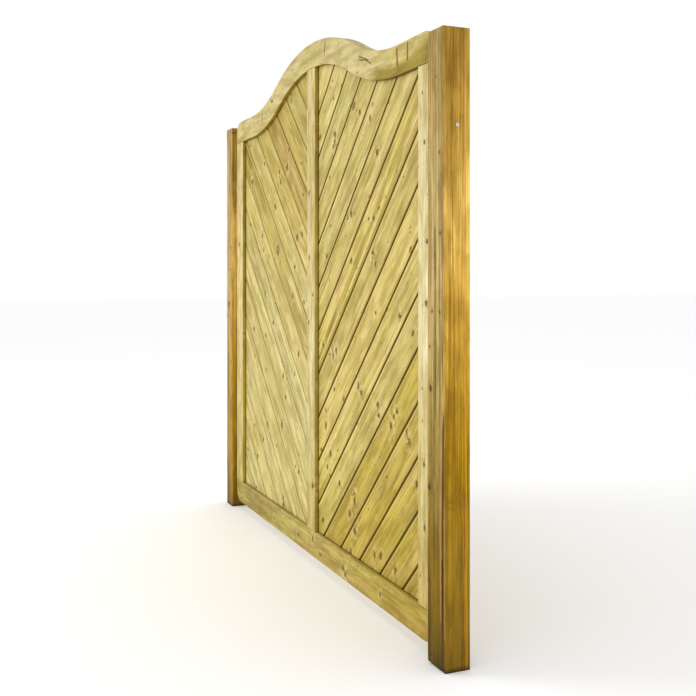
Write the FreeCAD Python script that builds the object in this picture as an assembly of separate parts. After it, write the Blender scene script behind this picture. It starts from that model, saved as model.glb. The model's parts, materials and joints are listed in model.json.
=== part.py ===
"""Framed garden gate with a wave top and chevron boards, hung between two square posts.

Millimetres. X runs across the gateway, -Y is the front face, +Z is up.
The origin is on the ground, midway between the posts and midway through the leaf.
Each separate physical piece is one STEP file in parts/.
"""
import FreeCAD, Part
import math
import os

V = FreeCAD.Vector
X_AXIS, Y_AXIS, Z_AXIS = V(1, 0, 0), V(0, 1, 0), V(0, 0, 1)

# ---------------------------------------------------------------- leaf, overall
LEAF_WIDTH = 1790.0
SHOULDER_HEIGHT = 1636.0       # leaf bottom to the flat ends of the top rail
CREST_RISE = 153.0             # crest above the flat ends
CREST_HALF_SPAN = 678.0        # centre line to where the wave runs out flat
CREST_RADIUS = 871.0           # convex arc; the concave arcs follow from the others
GROUND_GAP = 33.0              # under the leaf
LEAF_CORNER_RADIUS = 50.0

# ---------------------------------------------------------------- frame members
FRAME_THICKNESS = 45.0
STILE_WIDTH = 88.0
RAIL_WIDTH = 88.0
MULLION_WIDTH = 75.0
ARRIS_RADIUS = 3.0
SHOULDER_CLEARANCE = 0.2       # where a stile or the mullion butts on a rail
TENON_THICKNESS = 16.0
TENON_LENGTH = 45.0
TENON_ROOT = 5.0               # how far inside its shoulder a tenon starts
STILE_TENON_WIDTH = 48.0
MULLION_TENON_WIDTH = 35.0
TENON_CLEARANCE = 0.2
PEG_RADIUS = 5.0
PEG_LENGTH = 35.0
PEG_CLEARANCE = 0.05
PEG_FROM_SHOULDER = 22.0
PEG_SPACING = 26.0
STILE_PEGS = 2                 # in each of a stile's tenons
MULLION_PEGS = 1

# ---------------------------------------------------------------- boards
BOARD_COVER = 105.8            # pitch across the boards
BOARD_THICKNESS = 16.0
BOARD_CHAMFER = 4.0            # each side of a V joint
BOARD_JOINT_GAP = 0.4
TONGUE_LENGTH = 6.0
TONGUE_THICKNESS = 5.0
TONGUE_CLEARANCE = 0.25
TONGUE_END_CLEARANCE = 1.0
GROOVE_DEPTH = 10.0            # in the frame members
GROOVE_CLEARANCE = 0.25
BOARD_END_CLEARANCE = 1.0
SMALLEST_BOARD = 30.0          # narrower leftovers stay on the board beside them

# ---------------------------------------------------------------- posts
POST_SIZE = 85.0
POST_TOP_DROP = 19.0           # post tops below the leaf's shoulders
POST_ARRIS_RADIUS = 2.5
SIDE_GAP = 4.0                 # leaf to post, each side
POST_BACK_MARGIN = 0.2         # rear face of the posts behind the keep plate

# ---------------------------------------------------------------- hinges
LOWER_HINGE_RISE = 267.0       # its middle above the foot of the leaf
UPPER_HINGE_DROP = 269.0       # its middle below the shoulders of the leaf
HINGE_LENGTH = 100.0
KNUCKLES = 5
KNUCKLE_GAP = 0.4
FLAP_THICKNESS = 2.0
FLAP_WIDTH = 38.0
PIN_RADIUS = 3.0
PIN_CLEARANCE = 0.05
KNUCKLE_WALL = 2.45
HINGE_STAND_OFF = 0.5          # knuckle clear of the post and of the leaf
PIN_HEAD_RADIUS = 4.6
PIN_HEAD_HEIGHT = 2.0
PIN_HEAD_ROUNDING = 1.2
FLAP_SCREW_REACHES = (16.0, 28.0)   # near and far row, from the knuckles' axis

# ---------------------------------------------------------------- screws
SCREW_RADIUS = 2.0
SCREW_HEAD_RADIUS = 4.0
SCREW_HEAD_HEIGHT = 2.0
SCREW_LENGTH = 32.0
SCREW_TIP = 5.0
SCREW_CLEARANCE = 0.05
RECESS_LENGTH = 4.4
RECESS_WIDTH = 0.9
RECESS_DEPTH = 1.2
SCREW_EDGE = 12.0              # screw rows from the ends of a flap

# ---------------------------------------------------------------- sliding bolt and keep
BOLT_HEIGHT = 1000.0
BOLT_ROD_RADIUS = 6.0
BOLT_ROD_LENGTH = 122.0
BOLT_ROD_CHAMFER = 1.2
BOLT_REST_SETBACK = 3.0        # tip inside the leaf edge when drawn back
BOLT_TRAVEL = 30.0
BOLT_PLATE_LENGTH = 80.0
BOLT_PLATE_HEIGHT = 44.0
BOLT_PLATE_THICKNESS = 2.0
BOLT_PLATE_MARGIN = 4.0        # plate to the stile edges
PLATE_CORNER_RADIUS = 4.0      # bolt plate and keep plate
PLATE_SCREW_SPACING = 42.0     # along the bolt
PLATE_SCREW_EDGE = 7.0         # from the plate's top and bottom edges
GUIDE_LENGTH = 10.0
GUIDE_WALL = 3.0
GUIDE_CLEARANCE = 0.3
GUIDE_SPACING = 58.0           # centre to centre
KNOB_STEM_RADIUS = 3.5
KNOB_STEM_DROP = 30.0
KNOB_RADIUS = 7.5
KNOB_SEAT_CLEARANCE = 0.05
KNOB_SEAT_DEPTH = 4.0
KNOB_GUIDE_GAP = 1.0           # stem to the guide beside it, drawn back
KEEP_HEIGHT = 64.0
KEEP_WIDTH = 20.0
KEEP_THICKNESS = 2.0
KEEP_HOLE_CLEARANCE = 1.2
KEEP_SCREW_SPACING = 46.0
POST_SOCKET_CLEARANCE = 1.6
POST_SOCKET_MARGIN = 12.0      # socket deeper than the bolt reaches

# ---------------------------------------------------------------- screw in the post's outer face
SIDE_SCREW_DROP = 250.0        # below the post top
SIDE_SCREW_RADIUS = 2.5
SIDE_SCREW_HEAD_RADIUS = 5.5
SIDE_SCREW_HEAD_HEIGHT = 2.2
SIDE_SCREW_LENGTH = 45.0

CUT_OVERRUN = 1.0              # how far a cutting shape runs past the face it cuts

# ---------------------------------------------------------------- worked out from the above
HALF_LEAF = LEAF_WIDTH / 2
POST_INNER = HALF_LEAF + SIDE_GAP
POST_OUTER = POST_INNER + POST_SIZE
BACK = FRAME_THICKNESS / 2                     # y of the leaf's rear face
LEAF_BOTTOM = GROUND_GAP
SHOULDER_Z = LEAF_BOTTOM + SHOULDER_HEIGHT
RAIL_TOP = LEAF_BOTTOM + RAIL_WIDTH            # top of the bottom rail
STILE_INNER = HALF_LEAF - STILE_WIDTH
GROOVE_WIDTH = BOARD_THICKNESS + 2 * GROOVE_CLEARANCE
BOARD_REACH = GROOVE_DEPTH - BOARD_END_CLEARANCE

WAVE_ANGLE = 2 * math.atan(CREST_RISE / CREST_HALF_SPAN)
VALLEY_RADIUS = CREST_HALF_SPAN / math.sin(WAVE_ANGLE) - CREST_RADIUS
CREST_CENTRE = V(0, 0, SHOULDER_Z + CREST_RISE - CREST_RADIUS)
VALLEY_Z = SHOULDER_Z + VALLEY_RADIUS

KNUCKLE_RADIUS = PIN_RADIUS + PIN_CLEARANCE + KNUCKLE_WALL
HINGE_X = POST_INNER - KNUCKLE_RADIUS - HINGE_STAND_OFF
HINGE_Y = BACK + KNUCKLE_RADIUS + HINGE_STAND_OFF
LOWER_HINGE, UPPER_HINGE = LEAF_BOTTOM + LOWER_HINGE_RISE, SHOULDER_Z - UPPER_HINGE_DROP
HINGE_HEIGHTS = (LOWER_HINGE, (LOWER_HINGE + UPPER_HINGE) / 2, UPPER_HINGE)
KNUCKLE_PITCH = HINGE_LENGTH / KNUCKLES

PLATE_BACK = BACK + BOLT_PLATE_THICKNESS
BOLT_Y = PLATE_BACK + GUIDE_WALL / 2 + GUIDE_CLEARANCE + BOLT_ROD_RADIUS
BOLT_TIP_X = -HALF_LEAF + BOLT_REST_SETBACK
PLATE_LEFT = -HALF_LEAF + BOLT_PLATE_MARGIN
GUIDE_MIDDLE = PLATE_LEFT + BOLT_PLATE_LENGTH / 2
KNOB_X = GUIDE_MIDDLE + GUIDE_SPACING / 2 - GUIDE_LENGTH / 2 - KNOB_STEM_RADIUS - KNOB_GUIDE_GAP
SOCKET_DEPTH = BOLT_TRAVEL - BOLT_REST_SETBACK - SIDE_GAP + POST_SOCKET_MARGIN
POST_TOP = SHOULDER_Z - POST_TOP_DROP
POST_BACK = BOLT_Y + KEEP_WIDTH / 2 + POST_BACK_MARGIN
POST_FRONT = POST_BACK - POST_SIZE
POST_MIDDLE = (POST_FRONT + POST_BACK) / 2

nodes = {}


# ---------------------------------------------------------------- helpers
def box(x0, x1, y0, y1, z0, z1):
    return Part.makeBox(x1 - x0, y1 - y0, z1 - z0, V(x0, y0, z0))


def cylinder(radius, length, base, direction):
    return Part.makeCylinder(radius, length, base, direction)


def ease(shape, chosen, radius):
    """Round the edges of a solid for which chosen(edge) is true."""
    edges = [edge for edge in shape.Edges if chosen(edge)]
    return shape.makeFillet(radius, edges) if edges else shape


def lies_in_face_plane(edge):
    """True for an edge in the leaf's front or rear face plane."""
    ys = [vertex.Y for vertex in edge.Vertexes]
    return all(abs(abs(y) - BACK) < 1e-6 for y in ys)


def runs_along(edge, axis):
    a, b = edge.Vertexes[0].Point, edge.Vertexes[-1].Point
    span = b.sub(a)
    return span.Length > 1 and abs(abs(span.normalize().dot(axis)) - 1) < 1e-6


def mirrored(shape):
    return shape.mirror(V(0, 0, 0), X_AXIS)


def wave(inset):
    """Edges of the wave line, moved in by inset, from -X to +X between the flat ends' starts."""
    up = V(0, 0, 1)

    def on_arc(centre, radius, angle, side):
        return centre + V(math.sin(angle) * radius * side, 0, math.cos(angle) * radius)

    crest = CREST_RADIUS - inset
    valley = VALLEY_RADIUS + inset
    points = []
    for side in (-1, 1):
        centre = V(side * CREST_HALF_SPAN, 0, VALLEY_Z)
        foot = centre - up * valley
        half = centre - V(side * math.sin(WAVE_ANGLE / 2), 0, math.cos(WAVE_ANGLE / 2)) * valley
        joint = on_arc(CREST_CENTRE, crest, WAVE_ANGLE, side)
        points.append((foot, half, joint))
    (foot_l, half_l, joint_l), (foot_r, half_r, joint_r) = points
    top = CREST_CENTRE + up * crest
    return [Part.Arc(foot_l, half_l, joint_l).toShape(),
            Part.Arc(joint_l, top, joint_r).toShape(),
            Part.Arc(joint_r, half_r, foot_r).toShape()]


def below_wave(inset, x_left, x_right, z_low, thickness):
    """Solid under the wave line moved in by inset, between two x values and above z_low."""
    z_end = SHOULDER_Z - inset
    foot_l, foot_r = V(-CREST_HALF_SPAN, 0, z_end), V(CREST_HALF_SPAN, 0, z_end)
    far_l, far_r = V(-HALF_LEAF, 0, z_end), V(HALF_LEAF, 0, z_end)
    low_r, low_l = V(HALF_LEAF, 0, z_low), V(-HALF_LEAF, 0, z_low)
    edges = [Part.makeLine(far_l, foot_l)] + wave(inset)
    edges += [Part.makeLine(foot_r, far_r), Part.makeLine(far_r, low_r),
              Part.makeLine(low_r, low_l), Part.makeLine(low_l, far_l)]
    face = Part.Face(Part.Wire(edges))
    solid = face.extrude(V(0, thickness, 0))
    solid.translate(V(0, -thickness / 2, 0))
    if x_left <= -HALF_LEAF and x_right >= HALF_LEAF:
        return solid
    return solid.common(box(x_left, x_right, -thickness, thickness, z_low,
                            SHOULDER_Z + CREST_RISE))


def screw(head_point, direction, length=SCREW_LENGTH, grow=0.0, recess=True):
    """Countersunk wood screw whose flat head lies at head_point and whose tip is along direction."""
    shank, head = SCREW_RADIUS + grow, SCREW_HEAD_RADIUS + grow
    end = length + grow
    outline = [V(0, 0, 0), V(head, 0, 0), V(shank, 0, -SCREW_HEAD_HEIGHT),
               V(shank, 0, -(end - SCREW_TIP)), V(0, 0, -end), V(0, 0, 0)]
    solid = Part.Face(Part.makePolygon(outline)).revolve(V(0, 0, 0), Z_AXIS, 360)
    if recess:
        half, width = RECESS_LENGTH / 2, RECESS_WIDTH / 2
        cross = box(-half, half, -width, width, -RECESS_DEPTH, CUT_OVERRUN)
        cross = cross.fuse(box(-width, width, -half, half, -RECESS_DEPTH, CUT_OVERRUN))
        solid = solid.cut(cross)
    turn = FreeCAD.Rotation(V(0, 0, -1), direction)
    solid.Placement = FreeCAD.Placement(head_point, turn)
    return solid


def drilled(solid, screws):
    """Cut screws' clearance holes, given as (head_point, direction), from a solid."""
    for head_point, direction in screws:
        solid = solid.cut(screw(head_point, direction, grow=SCREW_CLEARANCE, recess=False))
    return solid


# ---------------------------------------------------------------- screw places
def flap_screw_offsets():
    """(height, reach) of a flap's screws from its middle and its knuckle axis, in a zigzag."""
    top = HINGE_LENGTH / 2 - SCREW_EDGE
    near, far = FLAP_SCREW_REACHES
    return [(top, near), (top / 3, far), (-top / 3, far), (-top, near)]


fixed_flap_screws = {}
moving_flap_screws = {}
for height in HINGE_HEIGHTS:
    fixed_flap_screws[height] = [
        (V(POST_INNER - FLAP_THICKNESS, HINGE_Y - reach, height + rise), X_AXIS)
        for rise, reach in flap_screw_offsets()]
    moving_flap_screws[height] = [
        (V(HINGE_X - reach, BACK + FLAP_THICKNESS, height + rise), V(0, -1, 0))
        for rise, reach in flap_screw_offsets()]

bolt_plate_screws = [
    (V(GUIDE_MIDDLE + side * PLATE_SCREW_SPACING / 2, PLATE_BACK,
       BOLT_HEIGHT + level * (BOLT_PLATE_HEIGHT / 2 - PLATE_SCREW_EDGE)), V(0, -1, 0))
    for side in (-1, 1) for level in (-1, 1)]

keep_screws = [
    (V(-POST_INNER + KEEP_THICKNESS, BOLT_Y, BOLT_HEIGHT + level * KEEP_SCREW_SPACING / 2),
     V(-1, 0, 0)) for level in (-1, 1)]


# ---------------------------------------------------------------- frame joints
def tenon(x_middle, width, z_shoulder, direction, grow=0.0):
    """Tenon, or its mortise when grow is given, that runs up (+1) or down (-1) past a shoulder."""
    half, thick = width / 2 + grow, TENON_THICKNESS / 2 + grow
    z0, z1 = sorted((z_shoulder - direction * TENON_ROOT,
                     z_shoulder + direction * (TENON_LENGTH + grow)))
    return box(x_middle - half, x_middle + half, -thick, thick, z0, z1)


STILE_MIDDLE = HALF_LEAF - STILE_WIDTH / 2
CREST_UNDER_Z = SHOULDER_Z + CREST_RISE - RAIL_WIDTH
TOP_JOINTS = [(-STILE_MIDDLE, STILE_TENON_WIDTH, SHOULDER_Z - RAIL_WIDTH, STILE_PEGS),
              (0.0, MULLION_TENON_WIDTH, CREST_UNDER_Z, MULLION_PEGS),
              (STILE_MIDDLE, STILE_TENON_WIDTH, SHOULDER_Z - RAIL_WIDTH, STILE_PEGS)]
LOW_JOINTS = [(x, width, RAIL_TOP, pegs) for x, width, _, pegs in TOP_JOINTS]


def peg(x, z, grow=0.0):
    return cylinder(PEG_RADIUS + grow, PEG_LENGTH + grow, V(x, BACK - PEG_LENGTH - grow, z), Y_AXIS)


def peg_places():
    places = []
    for joints, direction in ((TOP_JOINTS, 1), (LOW_JOINTS, -1)):
        for x, _, z, pegs in joints:
            level = z + direction * PEG_FROM_SHOULDER
            for number in range(pegs):
                places.append((x + (number - (pegs - 1) / 2) * PEG_SPACING, level))
    return places


def peg_holes(solid):
    for x, z in peg_places():
        hole = peg(x, z, PEG_CLEARANCE)
        if hole.BoundBox.intersect(solid.BoundBox):
            solid = solid.cut(hole)
    return solid


# ---------------------------------------------------------------- rails, stiles and mullion
def make_top_rail():
    outer = below_wave(0, -HALF_LEAF, HALF_LEAF, LEAF_BOTTOM, FRAME_THICKNESS)
    under = below_wave(RAIL_WIDTH, -HALF_LEAF, HALF_LEAF, LEAF_BOTTOM - CUT_OVERRUN,
                       2 * FRAME_THICKNESS)
    rail = outer.cut(under)

    def is_top_corner(edge):
        corner = edge.Vertexes[0]
        at_end = abs(abs(corner.X) - HALF_LEAF) < 1e-6
        return at_end and runs_along(edge, Y_AXIS) and abs(corner.Z - SHOULDER_Z) < 1e-6

    rail = ease(rail, is_top_corner, LEAF_CORNER_RADIUS)
    rail = ease(rail, lies_in_face_plane, ARRIS_RADIUS)
    reach = STILE_INNER + GROOVE_DEPTH
    groove = below_wave(RAIL_WIDTH - GROOVE_DEPTH, -reach, reach, LEAF_BOTTOM, GROOVE_WIDTH)
    rail = rail.cut(groove)
    for x, width, z, _ in TOP_JOINTS:
        rail = rail.cut(tenon(x, width, z, 1, TENON_CLEARANCE))
    return peg_holes(rail)


def make_bottom_rail():
    rail = box(-HALF_LEAF, HALF_LEAF, -BACK, BACK, LEAF_BOTTOM, RAIL_TOP)

    def is_low_corner(edge):
        return runs_along(edge, Y_AXIS) and abs(edge.Vertexes[0].Z - LEAF_BOTTOM) < 1e-6

    rail = ease(rail, is_low_corner, LEAF_CORNER_RADIUS)
    rail = ease(rail, lies_in_face_plane, ARRIS_RADIUS)
    reach, half = STILE_INNER + GROOVE_DEPTH, GROOVE_WIDTH / 2
    rail = rail.cut(box(-reach, reach, -half, half, RAIL_TOP - GROOVE_DEPTH,
                        RAIL_TOP + CUT_OVERRUN))
    for x, width, z, _ in LOW_JOINTS:
        rail = rail.cut(tenon(x, width, z, -1, TENON_CLEARANCE))
    return peg_holes(rail)


def make_stile():
    """The right stile; the left one is its mirror image before the ironmongery holes."""
    low, high = RAIL_TOP + SHOULDER_CLEARANCE, SHOULDER_Z - RAIL_WIDTH - SHOULDER_CLEARANCE
    stile = box(STILE_INNER, HALF_LEAF, -BACK, BACK, low, high)
    stile = ease(stile, lies_in_face_plane, ARRIS_RADIUS)
    half = GROOVE_WIDTH / 2
    stile = stile.cut(box(STILE_INNER - CUT_OVERRUN, STILE_INNER + GROOVE_DEPTH, -half, half,
                          low - CUT_OVERRUN, high + CUT_OVERRUN))
    stile = stile.fuse(tenon(STILE_MIDDLE, STILE_TENON_WIDTH, high, 1))
    stile = stile.fuse(tenon(STILE_MIDDLE, STILE_TENON_WIDTH, low, -1))
    return peg_holes(stile.removeSplitter())


def make_mullion():
    half = MULLION_WIDTH / 2
    low, high = RAIL_TOP + SHOULDER_CLEARANCE, CREST_UNDER_Z - SHOULDER_CLEARANCE
    mullion = below_wave(RAIL_WIDTH + SHOULDER_CLEARANCE, -half, half, low, FRAME_THICKNESS)
    mullion = ease(mullion, lies_in_face_plane, ARRIS_RADIUS)
    for side in (-1, 1):
        x0, x1 = sorted((side * (half - GROOVE_DEPTH), side * (half + CUT_OVERRUN)))
        mullion = mullion.cut(box(x0, x1, -GROOVE_WIDTH / 2, GROOVE_WIDTH / 2,
                                  low - CUT_OVERRUN, high + CUT_OVERRUN))
    mullion = mullion.fuse(tenon(0, MULLION_TENON_WIDTH, high, 1))
    mullion = mullion.fuse(tenon(0, MULLION_TENON_WIDTH, low, -1))
    return peg_holes(mullion.removeSplitter())


nodes["top_rail"] = make_top_rail()
nodes["bottom_rail"] = make_bottom_rail()
stile = make_stile()
nodes["mullion"] = make_mullion()
nodes["stile_right"] = drilled(stile, [s for group in moving_flap_screws.values() for s in group])
nodes["stile_left"] = drilled(mirrored(stile), bolt_plate_screws)
nodes["frame_pegs"] = Part.makeCompound([peg(x, z) for x, z in peg_places()])


# ---------------------------------------------------------------- chevron boards
def board_profile(width):
    """Board section as a face in the local XY plane: X across the board, Y through it."""
    low, high = BOARD_JOINT_GAP / 2, width - BOARD_JOINT_GAP / 2
    face, cut = BOARD_THICKNESS / 2, BOARD_CHAMFER
    tongue = TONGUE_THICKNESS / 2
    slot = tongue + TONGUE_CLEARANCE
    slot_end = low + TONGUE_LENGTH + TONGUE_END_CLEARANCE
    points = [(low, -face + cut), (low + cut, -face), (high - cut, -face), (high, -face + cut),
              (high, -tongue), (high + TONGUE_LENGTH, -tongue), (high + TONGUE_LENGTH, tongue),
              (high, tongue), (high, face - cut), (high - cut, face), (low + cut, face),
              (low, face - cut), (low, slot), (slot_end, slot), (slot_end, -slot), (low, -slot)]
    corners = [V(x, y, 0) for x, y in points]
    return Part.Face(Part.makePolygon(corners + corners[:1]))


def make_boards():
    """Boards of the right half. Board edges follow z - x = constant, and climb towards the stile."""
    x_low = MULLION_WIDTH / 2 - BOARD_REACH
    x_high = STILE_INNER + BOARD_REACH
    z_low = RAIL_TOP - BOARD_REACH
    inset = RAIL_WIDTH - BOARD_REACH
    panel = below_wave(inset, x_low, x_high, z_low, 2 * BOARD_THICKNESS)
    pitch = BOARD_COVER * math.sqrt(2)
    first = math.floor((z_low - x_high - LEAF_BOTTOM) / pitch)
    top_of_panel = CREST_UNDER_Z + BOARD_REACH - x_low - LEAF_BOTTOM
    last = math.floor((top_of_panel - SMALLEST_BOARD * math.sqrt(2)) / pitch)
    length = 3 * (LEAF_WIDTH + SHOULDER_HEIGHT)
    along = V(1, 0, 1).normalize()
    across = V(-1, 0, 1).normalize()
    through = along.cross(across)
    turn = FreeCAD.Matrix(across.x, through.x, along.x, 0,
                          across.y, through.y, along.y, 0,
                          across.z, through.z, along.z, 0,
                          0, 0, 0, 1)
    boards = []
    for number in range(first, last + 1):
        width = 3 * BOARD_COVER if number == last else BOARD_COVER
        strip = board_profile(width).extrude(V(0, 0, length))
        strip.translate(V(0, 0, -length / 2))
        strip = strip.transformGeometry(turn)
        strip.translate(V(0, 0, LEAF_BOTTOM + number * pitch))
        piece = strip.common(panel)
        boards.append(max(piece.Solids, key=lambda solid: solid.Volume))
    return boards


for number, board in enumerate(make_boards(), 1):
    nodes["board_right_%02d" % number] = board
    nodes["board_left_%02d" % number] = mirrored(board)


# ---------------------------------------------------------------- posts
def make_post(side):
    x0, x1 = sorted((side * POST_INNER, side * POST_OUTER))
    post = box(x0, x1, POST_FRONT, POST_BACK, 0, POST_TOP)
    return ease(post, lambda edge: runs_along(edge, Z_AXIS), POST_ARRIS_RADIUS)


def side_screw(grow=0.0):
    """Pan-head screw driven into the hinge post's outer face."""
    shank = SIDE_SCREW_RADIUS + grow
    end = SIDE_SCREW_LENGTH + grow
    head = SIDE_SCREW_HEAD_HEIGHT + grow
    shape = cylinder(SIDE_SCREW_HEAD_RADIUS + grow, head, V(0, 0, -head), Z_AXIS)
    shape = shape.fuse(cylinder(shank, end - SCREW_TIP, V(0, 0, -(end - SCREW_TIP)), Z_AXIS))
    shape = shape.fuse(Part.makeCone(0, shank, SCREW_TIP, V(0, 0, -end), Z_AXIS))
    if grow == 0:
        half, width = RECESS_LENGTH / 2, RECESS_WIDTH / 2
        cross = box(-half, half, -width, width, -RECESS_DEPTH, CUT_OVERRUN)
        shape = shape.cut(cross.fuse(box(-width, width, -half, half, -RECESS_DEPTH,
                                         CUT_OVERRUN)))
        shape = shape.removeSplitter()
    shape.Placement = FreeCAD.Placement(V(POST_OUTER, POST_MIDDLE, POST_TOP - SIDE_SCREW_DROP),
                                        FreeCAD.Rotation(Z_AXIS, X_AXIS))
    return shape


right_post = drilled(make_post(1), [s for group in fixed_flap_screws.values() for s in group])
nodes["post_right"] = right_post.cut(side_screw(SCREW_CLEARANCE))
nodes["post_side_screw"] = side_screw()

socket = cylinder(BOLT_ROD_RADIUS + POST_SOCKET_CLEARANCE, SOCKET_DEPTH + CUT_OVERRUN,
                  V(-POST_INNER + CUT_OVERRUN, BOLT_Y, BOLT_HEIGHT), V(-1, 0, 0))
nodes["post_left"] = drilled(make_post(-1), keep_screws).cut(socket)


# ---------------------------------------------------------------- hinges
def knuckle(height, index):
    low = height - HINGE_LENGTH / 2 + index * KNUCKLE_PITCH + KNUCKLE_GAP / 2
    base = V(HINGE_X, HINGE_Y, low)
    return base, KNUCKLE_PITCH - KNUCKLE_GAP


def notch(height, index, solid):
    """Cut the room for the other flap's knuckle out of a flap's edge."""
    low = height - HINGE_LENGTH / 2 + index * KNUCKLE_PITCH - KNUCKLE_GAP / 2
    clear = KNUCKLE_RADIUS + HINGE_STAND_OFF
    return solid.cut(box(HINGE_X - clear, POST_INNER + CUT_OVERRUN, HINGE_Y - clear,
                         HINGE_Y + clear, low, low + KNUCKLE_PITCH + KNUCKLE_GAP))


def make_flap(height, plate, own, screws):
    """A flap: its plate, notched for the other flap, with its own knuckles and screw holes."""
    flap = plate
    for index in range(KNUCKLES):
        if index not in own:
            flap = notch(height, index, flap)
    for index in own:
        base, length = knuckle(height, index)
        flap = flap.fuse(cylinder(KNUCKLE_RADIUS, length, base, Z_AXIS))
    bore = cylinder(PIN_RADIUS + PIN_CLEARANCE, HINGE_LENGTH + 2 * CUT_OVERRUN,
                    V(HINGE_X, HINGE_Y, height - HINGE_LENGTH / 2 - CUT_OVERRUN), Z_AXIS)
    return drilled(flap.cut(bore), screws).removeSplitter()


def make_pin(height):
    """Hinge pin with a rounded head at each end."""
    half = HINGE_LENGTH / 2
    pin = cylinder(PIN_RADIUS, HINGE_LENGTH, V(HINGE_X, HINGE_Y, height - half), Z_AXIS)
    for end in (-1, 1):
        base = V(HINGE_X, HINGE_Y, height + end * half)
        head = cylinder(PIN_HEAD_RADIUS, PIN_HEAD_HEIGHT, base, V(0, 0, end))
        rim = [edge for edge in head.Edges
               if abs(edge.BoundBox.Center.z - base.z) > PIN_HEAD_HEIGHT / 2 and edge.Closed]
        pin = pin.fuse(head.makeFillet(PIN_HEAD_ROUNDING, rim))
    return pin.removeSplitter()


own_fixed = [index for index in range(KNUCKLES) if index % 2 == 0]
own_moving = [index for index in range(KNUCKLES) if index % 2 == 1]
for name, height in zip(("lower", "middle", "upper"), HINGE_HEIGHTS):
    z0 = height - HINGE_LENGTH / 2 + KNUCKLE_GAP / 2
    z1 = height + HINGE_LENGTH / 2 - KNUCKLE_GAP / 2
    fixed = box(POST_INNER - FLAP_THICKNESS, POST_INNER, HINGE_Y - FLAP_WIDTH, HINGE_Y, z0, z1)
    moving = box(HINGE_X - FLAP_WIDTH, HINGE_X, BACK, BACK + FLAP_THICKNESS, z0, z1)
    nodes["hinge_flap_post_" + name] = make_flap(height, fixed, own_fixed,
                                                 fixed_flap_screws[height])
    nodes["hinge_flap_leaf_" + name] = make_flap(height, moving, own_moving,
                                                 moving_flap_screws[height])
    nodes["hinge_pin_" + name] = make_pin(height)

nodes["hinge_screws_post"] = Part.makeCompound(
    [screw(*place) for group in fixed_flap_screws.values() for place in group])
nodes["hinge_screws_leaf"] = Part.makeCompound(
    [screw(*place) for group in moving_flap_screws.values() for place in group])


# ---------------------------------------------------------------- sliding bolt
def make_bolt_body():
    """Back plate with two guides for the rod."""
    x0, x1 = PLATE_LEFT, PLATE_LEFT + BOLT_PLATE_LENGTH
    half = BOLT_PLATE_HEIGHT / 2
    body = box(x0, x1, BACK, PLATE_BACK, BOLT_HEIGHT - half, BOLT_HEIGHT + half)
    body = ease(body, lambda edge: runs_along(edge, Y_AXIS), PLATE_CORNER_RADIUS)
    outer = BOLT_ROD_RADIUS + GUIDE_CLEARANCE + GUIDE_WALL
    for side in (-1, 1):
        x = GUIDE_MIDDLE + side * GUIDE_SPACING / 2 - GUIDE_LENGTH / 2
        body = body.fuse(box(x, x + GUIDE_LENGTH, BACK, BOLT_Y,
                             BOLT_HEIGHT - outer, BOLT_HEIGHT + outer))
        body = body.fuse(cylinder(outer, GUIDE_LENGTH, V(x, BOLT_Y, BOLT_HEIGHT), X_AXIS))
    bore = cylinder(BOLT_ROD_RADIUS + GUIDE_CLEARANCE, BOLT_PLATE_LENGTH + 2 * CUT_OVERRUN,
                    V(x0 - CUT_OVERRUN, BOLT_Y, BOLT_HEIGHT), X_AXIS)
    return drilled(body.cut(bore), bolt_plate_screws).removeSplitter()


def make_rod():
    rod = cylinder(BOLT_ROD_RADIUS, BOLT_ROD_LENGTH, V(BOLT_TIP_X, BOLT_Y, BOLT_HEIGHT), X_AXIS)
    rod = rod.makeChamfer(BOLT_ROD_CHAMFER, [edge for edge in rod.Edges if edge.Closed])
    seat = cylinder(KNOB_STEM_RADIUS + KNOB_SEAT_CLEARANCE, BOLT_ROD_RADIUS + KNOB_SEAT_DEPTH,
                    V(KNOB_X, BOLT_Y, BOLT_HEIGHT + KNOB_SEAT_DEPTH - BOLT_ROD_RADIUS),
                    V(0, 0, -1))
    return rod.cut(seat)


def make_knob():
    top = BOLT_HEIGHT + KNOB_SEAT_DEPTH - BOLT_ROD_RADIUS - KNOB_SEAT_CLEARANCE
    ball = V(KNOB_X, BOLT_Y, BOLT_HEIGHT - KNOB_STEM_DROP)
    stem = cylinder(KNOB_STEM_RADIUS, top - ball.z, ball, Z_AXIS)
    return stem.fuse(Part.makeSphere(KNOB_RADIUS, ball)).removeSplitter()


def make_keep():
    half_w, half_h = KEEP_WIDTH / 2, KEEP_HEIGHT / 2
    keep = box(-POST_INNER, -POST_INNER + KEEP_THICKNESS, BOLT_Y - half_w, BOLT_Y + half_w,
               BOLT_HEIGHT - half_h, BOLT_HEIGHT + half_h)
    keep = ease(keep, lambda edge: runs_along(edge, X_AXIS), PLATE_CORNER_RADIUS)
    hole = cylinder(BOLT_ROD_RADIUS + KEEP_HOLE_CLEARANCE, KEEP_THICKNESS + 2 * CUT_OVERRUN,
                    V(-POST_INNER - CUT_OVERRUN, BOLT_Y, BOLT_HEIGHT), X_AXIS)
    return drilled(keep.cut(hole), keep_screws)


nodes["bolt_body"] = make_bolt_body()
nodes["bolt_rod"] = make_rod()
nodes["bolt_knob"] = make_knob()
nodes["bolt_screws"] = Part.makeCompound([screw(*place) for place in bolt_plate_screws])
nodes["keep_plate"] = make_keep()
nodes["keep_screws"] = Part.makeCompound([screw(*place) for place in keep_screws])

# ---------------------------------------------------------------- write
os.makedirs("parts", exist_ok=True)
for name, shape in nodes.items():
    shape.exportStep("parts/%s.step" % name)
    print("%-24s solids %2d valid %s volume %.0f" % (name, len(shape.Solids), shape.isValid(),
                                                     shape.Volume))
print(len(nodes), "nodes")
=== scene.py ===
"""Looks of the chevron-boarded garden gate: timber, ironmongery, floor, light and camera.

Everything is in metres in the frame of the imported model: X across the gateway, -Y the front, +Z up.
"""

import json
import math
import random

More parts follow.
